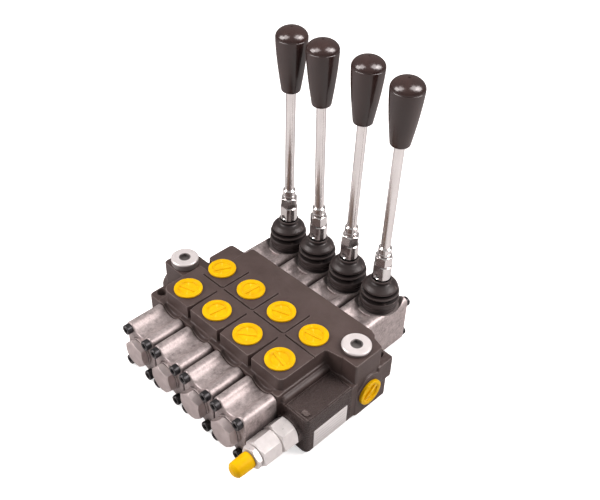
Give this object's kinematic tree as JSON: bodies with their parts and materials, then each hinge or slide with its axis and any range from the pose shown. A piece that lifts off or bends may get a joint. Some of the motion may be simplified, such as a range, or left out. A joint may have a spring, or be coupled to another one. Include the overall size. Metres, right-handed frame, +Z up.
{
  "type": "hydraulic directional control valve",
  "caption": "Monoblock hydraulic directional valve with hand levers in rubber boots, sprung spools, plugged work ports and a side relief valve.",
  "frame": {"origin": "on the machined mounting face, under the centre of the work ports", "axes": "+X along the row of spools towards the relief valve, +Y along the spools towards the levers, +Z up out of the mounting face along the levers"},
  "size_m": [0.2091, 0.2119, 0.2512],
  "materials": {
    "body_paint": "dark grey-brown paint over a sand casting, semi-matt",
    "yellow_plastic": "moulded polyethylene, satin",
    "die_cast_metal": "die-cast, satin",
    "zinc_steel": "bright zinc plate",
    "ground_steel": "ground",
    "black_oxide": "black oxide, satin",
    "black_rubber": "moulded rubber, satin",
    "chrome": "polished plate",
    "knob_plastic": "moulded phenolic, glossy",
    "spring_steel": "oiled spring wire"
  },
  "bodies": {
    "valve_block": {"valve_body": "body_paint", "port_plug_a1": "yellow_plastic", "port_plug_a2": "yellow_plastic", "port_plug_a3": "yellow_plastic", "port_plug_a4": "yellow_plastic", "port_plug_b1": "yellow_plastic", "port_plug_b2": "yellow_plastic", "port_plug_b3": "yellow_plastic", "port_plug_b4": "yellow_plastic", "side_port_plug_right": "yellow_plastic", "side_port_plug_left": "yellow_plastic", "corner_plug_left": "zinc_steel", "corner_plug_right": "zinc_steel", "relief_cartridge": "zinc_steel", "relief_lock_nut": "zinc_steel", "relief_adjusting_screw": "black_oxide", "relief_cap": "yellow_plastic", "relief_spring": "spring_steel", "spring_cap_1": "die_cast_metal", "end_plug_1": "die_cast_metal", "centering_spring_1": "spring_steel", "lever_housing_1": "die_cast_metal", "lever_boot_1": "black_rubber", "spring_cap_2": "die_cast_metal", "end_plug_2": "die_cast_metal", "centering_spring_2": "spring_steel", "lever_housing_2": "die_cast_metal", "lever_boot_2": "black_rubber", "spring_cap_3": "die_cast_metal", "end_plug_3": "die_cast_metal", "centering_spring_3": "spring_steel", "lever_housing_3": "die_cast_metal", "lever_boot_3": "black_rubber", "spring_cap_4": "die_cast_metal", "end_plug_4": "die_cast_metal", "centering_spring_4": "spring_steel", "lever_housing_4": "die_cast_metal", "lever_boot_4": "black_rubber", "case_screws": "black_oxide"},
    "lever_1": {"lever_socket_1": "chrome", "lever_lock_nut_1": "chrome", "lever_rod_1": "chrome", "lever_knob_1": "knob_plastic"},
    "spool_1": {"spool_1": "ground_steel"},
    "lever_2": {"lever_socket_2": "chrome", "lever_lock_nut_2": "chrome", "lever_rod_2": "chrome", "lever_knob_2": "knob_plastic"},
    "spool_2": {"spool_2": "ground_steel"},
    "lever_3": {"lever_socket_3": "chrome", "lever_lock_nut_3": "chrome", "lever_rod_3": "chrome", "lever_knob_3": "knob_plastic"},
    "spool_3": {"spool_3": "ground_steel"},
    "lever_4": {"lever_socket_4": "chrome", "lever_lock_nut_4": "chrome", "lever_rod_4": "chrome", "lever_knob_4": "knob_plastic"},
    "spool_4": {"spool_4": "ground_steel"},
    "relief_poppet": {"relief_poppet": "ground_steel"}
  },
  "joints": [
    {"name": "lever_1_tilt", "type": "hinge", "parent": "valve_block", "child": "lever_1", "pos_m": [-0.054, 0.096, 0.0427], "axis": [1, 0, 0], "range_deg": [-14.5, 14.5], "stiffness_Nm_per_rad": 1.6, "deforming": ["lever_boot_1"]},
    {"name": "spool_1_slide", "type": "slide", "parent": "valve_block", "child": "spool_1", "axis": [0, 1, 0], "range_m": [-0.0053, 0.0053], "deforming": ["centering_spring_1"]},
    {"name": "lever_2_tilt", "type": "hinge", "parent": "valve_block", "child": "lever_2", "pos_m": [-0.018, 0.096, 0.0427], "axis": [1, 0, 0], "range_deg": [-14.5, 14.5], "stiffness_Nm_per_rad": 1.6, "deforming": ["lever_boot_2"]},
    {"name": "spool_2_slide", "type": "slide", "parent": "valve_block", "child": "spool_2", "axis": [0, 1, 0], "range_m": [-0.0053, 0.0053], "deforming": ["centering_spring_2"]},
    {"name": "lever_3_tilt", "type": "hinge", "parent": "valve_block", "child": "lever_3", "pos_m": [0.018, 0.096, 0.0427], "axis": [1, 0, 0], "range_deg": [-14.5, 14.5], "stiffness_Nm_per_rad": 1.6, "deforming": ["lever_boot_3"]},
    {"name": "spool_3_slide", "type": "slide", "parent": "valve_block", "child": "spool_3", "axis": [0, 1, 0], "range_m": [-0.0053, 0.0053], "deforming": ["centering_spring_3"]},
    {"name": "lever_4_tilt", "type": "hinge", "parent": "valve_block", "child": "lever_4", "pos_m": [0.054, 0.096, 0.0427], "axis": [1, 0, 0], "range_deg": [-14.5, 14.5], "stiffness_Nm_per_rad": 1.6, "deforming": ["lever_boot_4"]},
    {"name": "spool_4_slide", "type": "slide", "parent": "valve_block", "child": "spool_4", "axis": [0, 1, 0], "range_m": [-0.0053, 0.0053], "deforming": ["centering_spring_4"]},
    {"name": "relief_poppet_slide", "type": "slide", "parent": "valve_block", "child": "relief_poppet", "axis": [0, -1, 0], "range_m": [0, 0.0015], "stiffness_N_per_m": 40000, "deforming": ["relief_spring"]}
  ],
  "couplings": [
    {"joint": "spool_1_slide", "follows": "lever_1_tilt", "m_per_rad": 0.02},
    {"joint": "spool_2_slide", "follows": "lever_2_tilt", "m_per_rad": 0.02},
    {"joint": "spool_3_slide", "follows": "lever_3_tilt", "m_per_rad": 0.02},
    {"joint": "spool_4_slide", "follows": "lever_4_tilt", "m_per_rad": 0.02}
  ]
}
